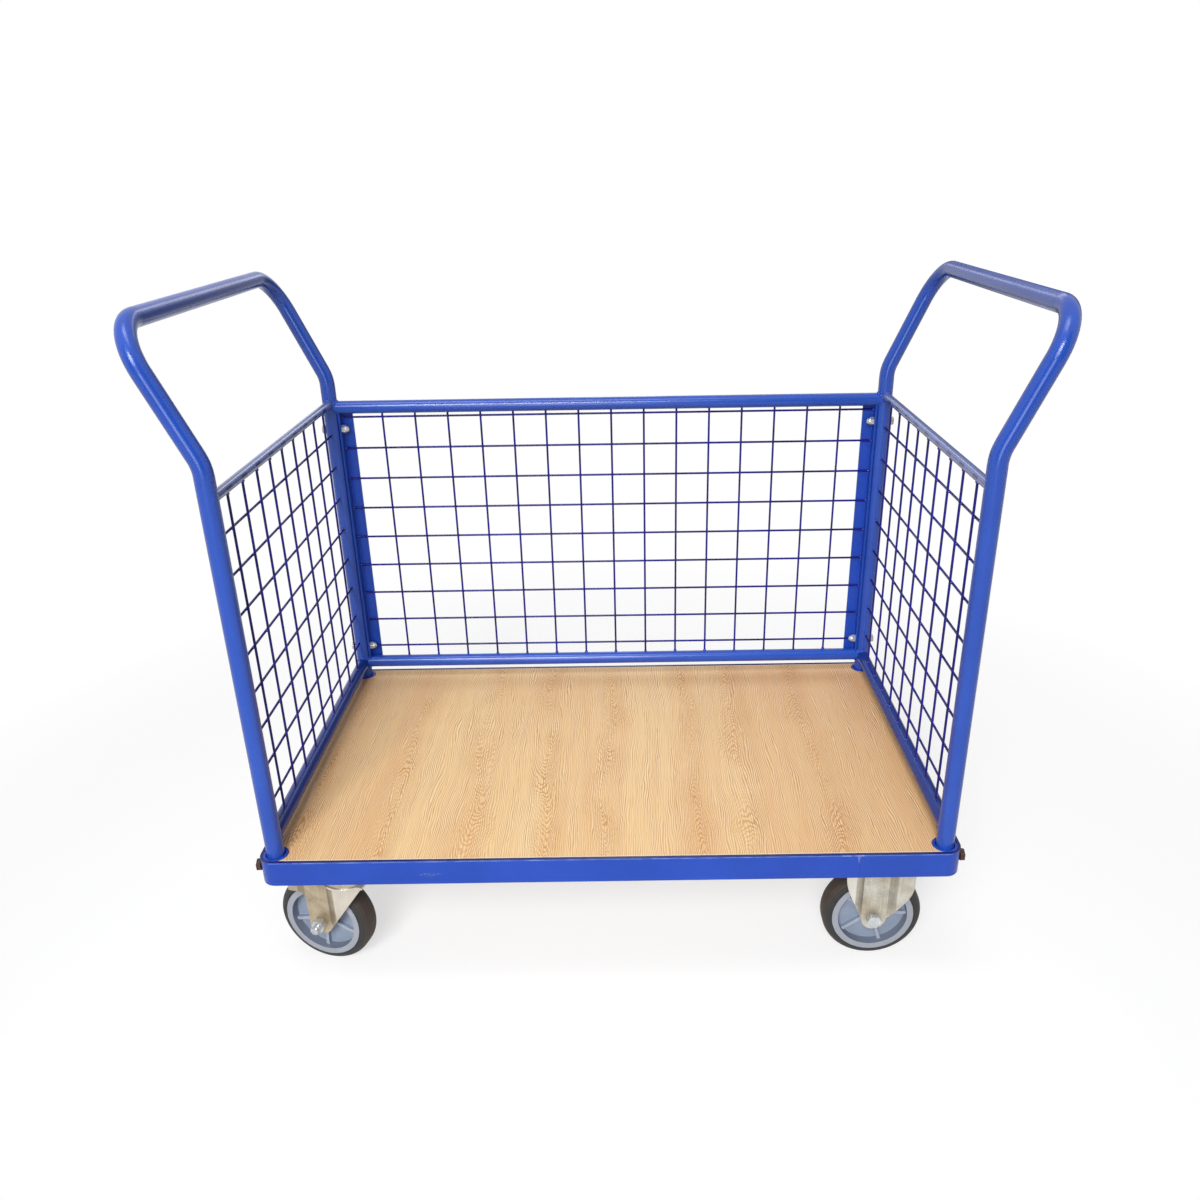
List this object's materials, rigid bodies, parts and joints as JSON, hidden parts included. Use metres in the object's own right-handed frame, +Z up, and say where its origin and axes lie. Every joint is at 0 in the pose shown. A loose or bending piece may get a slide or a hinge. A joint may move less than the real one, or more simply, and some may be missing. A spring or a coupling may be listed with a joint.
{
  "type": "three-sided mesh platform trolley",
  "caption": "Platform trolley with a board deck in a steel rim, hoop handles and wire mesh at both ends, a mesh back panel, fixed and swivel castors.",
  "frame": {"origin": "on the ground under the middle of the platform", "axes": "+X along the platform towards the fixed castors, +Y from the open side to the back panel, +Z up"},
  "size_m": [1.1296, 0.6, 0.9805],
  "materials": {
    "blue_paint": "glossy powder coat",
    "deck_wood": "oak grain laminate, satin",
    "zinc": "zinc plated, warm grey",
    "bright_steel": "bright zinc plated",
    "dark_steel": "black oxide",
    "tyre": "matt rubber",
    "hub_plastic": "moulded grey-blue nylon"
  },
  "bodies": {
    "chassis": {"platform_rim": "blue_paint", "deck_board": "deck_wood", "cross_rails": "blue_paint", "corner_plates": "blue_paint", "deck_screws": "bright_steel", "corner_sockets": "blue_paint", "socket_lock_bolts": "dark_steel", "left_handle_tube": "blue_paint", "left_top_rail": "blue_paint", "left_bottom_rail": "blue_paint", "left_mesh": "blue_paint", "right_handle_tube": "blue_paint", "right_top_rail": "blue_paint", "right_bottom_rail": "blue_paint", "right_mesh": "blue_paint", "back_top_tube": "blue_paint", "back_bottom_tube": "blue_paint", "back_left_stile": "blue_paint", "back_right_stile": "blue_paint", "back_mesh": "blue_paint", "panel_bolts": "zinc", "panel_cap_nuts": "bright_steel", "castor_bolts": "zinc", "castor_nuts": "zinc", "fixed_front_fork": "zinc", "fixed_rear_fork": "zinc", "fixed_front_axle": "bright_steel", "fixed_rear_axle": "bright_steel", "fixed_front_axle_nut": "bright_steel", "fixed_rear_axle_nut": "bright_steel", "swivel_front_plate": "zinc", "swivel_rear_plate": "zinc", "swivel_front_kingpin": "bright_steel", "swivel_rear_kingpin": "bright_steel"},
    "swivel_front": {"swivel_front_race": "zinc", "swivel_front_fork": "zinc", "swivel_front_axle": "bright_steel", "swivel_front_axle_nut": "bright_steel"},
    "wheel_swivel_front": {"swivel_front_tyre": "tyre", "swivel_front_hub": "hub_plastic", "swivel_front_bush": "bright_steel"},
    "wheel_fixed_front": {"fixed_front_tyre": "tyre", "fixed_front_hub": "hub_plastic", "fixed_front_bush": "bright_steel"},
    "swivel_rear": {"swivel_rear_race": "zinc", "swivel_rear_fork": "zinc", "swivel_rear_axle": "bright_steel", "swivel_rear_axle_nut": "bright_steel"},
    "wheel_swivel_rear": {"swivel_rear_tyre": "tyre", "swivel_rear_hub": "hub_plastic", "swivel_rear_bush": "bright_steel"},
    "wheel_fixed_rear": {"fixed_rear_tyre": "tyre", "fixed_rear_hub": "hub_plastic", "fixed_rear_bush": "bright_steel"}
  },
  "joints": [
    {"name": "castor_swivel_front", "type": "hinge", "parent": "chassis", "child": "swivel_front", "pos_m": [-0.396, -0.231, 0.175], "axis": [0, 0, 1], "continuous": true},
    {"name": "swivel_wheel_front", "type": "hinge", "parent": "swivel_front", "child": "wheel_swivel_front", "pos_m": [-0.4383, -0.21887, 0.075], "axis": [0.2756, 0.9613, 0], "continuous": true},
    {"name": "fixed_wheel_front", "type": "hinge", "parent": "chassis", "child": "wheel_fixed_front", "pos_m": [0.396, -0.225, 0.075], "axis": [0, 1, 0], "continuous": true},
    {"name": "castor_swivel_rear", "type": "hinge", "parent": "chassis", "child": "swivel_rear", "pos_m": [-0.396, 0.231, 0.175], "axis": [0, 0, 1], "continuous": true},
    {"name": "swivel_wheel_rear", "type": "hinge", "parent": "swivel_rear", "child": "wheel_swivel_rear", "pos_m": [-0.4383, 0.24313, 0.075], "axis": [0.2756, 0.9613, 0], "continuous": true},
    {"name": "fixed_wheel_rear", "type": "hinge", "parent": "chassis", "child": "wheel_fixed_rear", "pos_m": [0.396, 0.225, 0.075], "axis": [0, 1, 0], "continuous": true}
  ]
}
